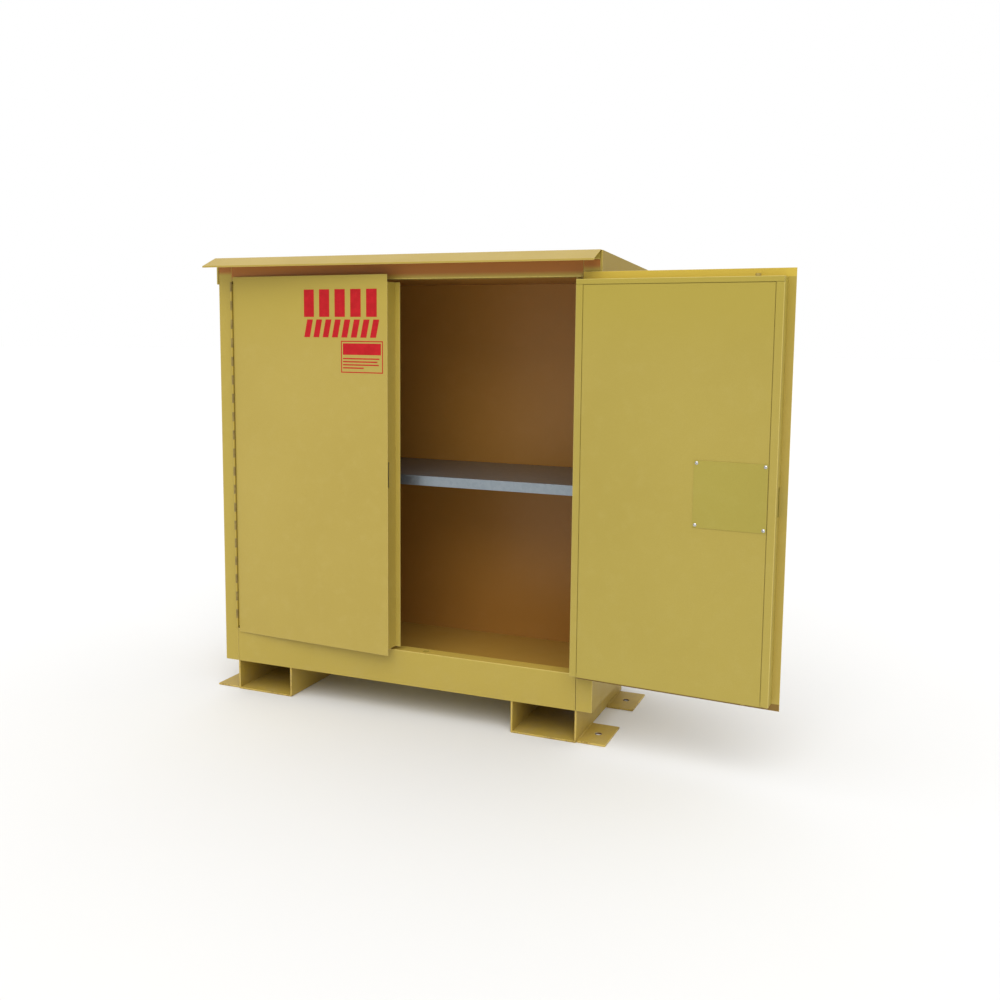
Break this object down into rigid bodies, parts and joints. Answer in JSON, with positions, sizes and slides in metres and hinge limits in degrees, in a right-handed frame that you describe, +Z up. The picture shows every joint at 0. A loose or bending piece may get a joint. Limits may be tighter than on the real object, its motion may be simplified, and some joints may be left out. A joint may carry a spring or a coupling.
{
  "type": "flammable storage cabinet",
  "caption": "Outdoor double-walled steel safety cabinet with two hinged doors, a three-point latch, a shelf, a sloping roof, a spill sill and a fork-lift base with anchor plates.",
  "frame": {"origin": "floor level, in the middle of the four anchor holes in the foot plates", "axes": "+X to the right when facing the doors, +Y to the back, +Z up; the doors face -Y"},
  "size_m": [1.5798, 0.54, 1.2143],
  "materials": {
    "yellow_paint": "semi-gloss safety yellow enamel, fine orange peel",
    "yellow_paint_inside": "semi-gloss safety yellow enamel, inner walls",
    "yellow_paint_doors": null,
    "galvanised_steel": "galvanised sheet with faint spangle",
    "zinc_plated_steel": "bright zinc plate",
    "black_handle": "black powder coat",
    "chrome_lock": "polished plating",
    "brass_stud": "plain brass",
    "arrester_mesh": "perforated stainless sheet"
  },
  "bodies": {
    "cabinet": {"side_panel_left": "yellow_paint", "side_panel_right": "yellow_paint", "back_panel": "yellow_paint", "bottom_panel": "yellow_paint", "top_panel": "yellow_paint", "liner_left": "yellow_paint_inside", "liner_right": "yellow_paint_inside", "liner_back": "yellow_paint_inside", "liner_floor": "yellow_paint_inside", "liner_ceiling": "yellow_paint_inside", "frame_stile_left": "yellow_paint", "frame_stile_right": "yellow_paint", "frame_header": "yellow_paint", "frame_sill": "yellow_paint", "roof_sheet": "yellow_paint", "roof_rail": "yellow_paint", "roof_skirt_left": "yellow_paint", "roof_skirt_right": "yellow_paint", "fork_channel_left": "yellow_paint", "fork_channel_right": "yellow_paint", "foot_plate_front_left": "yellow_paint", "foot_plate_front_right": "yellow_paint", "foot_plate_rear_left": "yellow_paint", "foot_plate_rear_right": "yellow_paint", "shelf": "galvanised_steel", "shelf_brackets": "galvanised_steel", "rod_keepers": "zinc_plated_steel", "ground_stud": "brass_stud", "vent_collar_left": "zinc_plated_steel", "vent_collar_right": "zinc_plated_steel", "vent_screen_left": "arrester_mesh", "vent_screen_right": "arrester_mesh", "vent_cap_left": "yellow_paint", "vent_cap_right": "yellow_paint", "hinge_frame_leaf_left": "yellow_paint", "hinge_frame_leaf_right": "yellow_paint", "hinge_pin_left": "zinc_plated_steel", "hinge_pin_right": "zinc_plated_steel"},
    "left_door": {"left_door_skin": "yellow_paint_doors", "left_door_frame": "yellow_paint", "left_door_liner": "yellow_paint", "left_door_astragal": "yellow_paint", "left_door_strike": "zinc_plated_steel", "left_door_hinge_leaf": "yellow_paint"},
    "right_door": {"right_door_skin": "yellow_paint_doors", "right_door_frame": "yellow_paint", "right_door_liner": "yellow_paint", "right_door_hinge_leaf": "yellow_paint", "latch_cover_plate": "yellow_paint", "cover_screws": "zinc_plated_steel", "latch_bracket": "zinc_plated_steel", "rod_guides": "zinc_plated_steel", "handle_escutcheon": "black_handle"},
    "latch_handle": {"handle_lever": "black_handle", "latch_spindle": "zinc_plated_steel", "latch_cam": "zinc_plated_steel", "latch_tongue": "zinc_plated_steel"},
    "lock_cylinder": {"lock_plug": "chrome_lock"},
    "upper_rod": {"top_rod": "zinc_plated_steel"},
    "lower_rod": {"bottom_rod": "zinc_plated_steel"}
  },
  "joints": [
    {"name": "left_door_hinge", "type": "hinge", "parent": "cabinet", "child": "left_door", "pos_m": [-0.50175, -0.2122, 0.667], "axis": [0, 0, -1], "range_deg": [-3.8, 176.2]},
    {"name": "right_door_hinge", "type": "hinge", "parent": "cabinet", "child": "right_door", "pos_m": [0.50175, -0.2122, 0.667], "axis": [0, 0, 1], "range_deg": [-176, 4]},
    {"name": "handle_turn", "type": "hinge", "parent": "right_door", "child": "latch_handle", "pos_m": [0.94417, -0.24314, 0.676], "axis": [-0.0698, -0.9976, 0], "range_deg": [0, 90]},
    {"name": "key_turn", "type": "hinge", "parent": "latch_handle", "child": "lock_cylinder", "pos_m": [0.94522, -0.22817, 0.676], "axis": [0.0698, 0.9976, 0], "range_deg": [0, 90]},
    {"name": "upper_rod_slide", "type": "slide", "parent": "right_door", "child": "upper_rod", "axis": [0, 0, 1], "range_m": [0, 0.0256]},
    {"name": "lower_rod_slide", "type": "slide", "parent": "right_door", "child": "lower_rod", "axis": [0, 0, -1], "range_m": [0, 0.0256]}
  ],
  "couplings": [
    {"joint": "upper_rod_slide", "follows": "handle_turn", "m_per_rad": 0.016206},
    {"joint": "lower_rod_slide", "follows": "handle_turn", "m_per_rad": 0.016206}
  ]
}
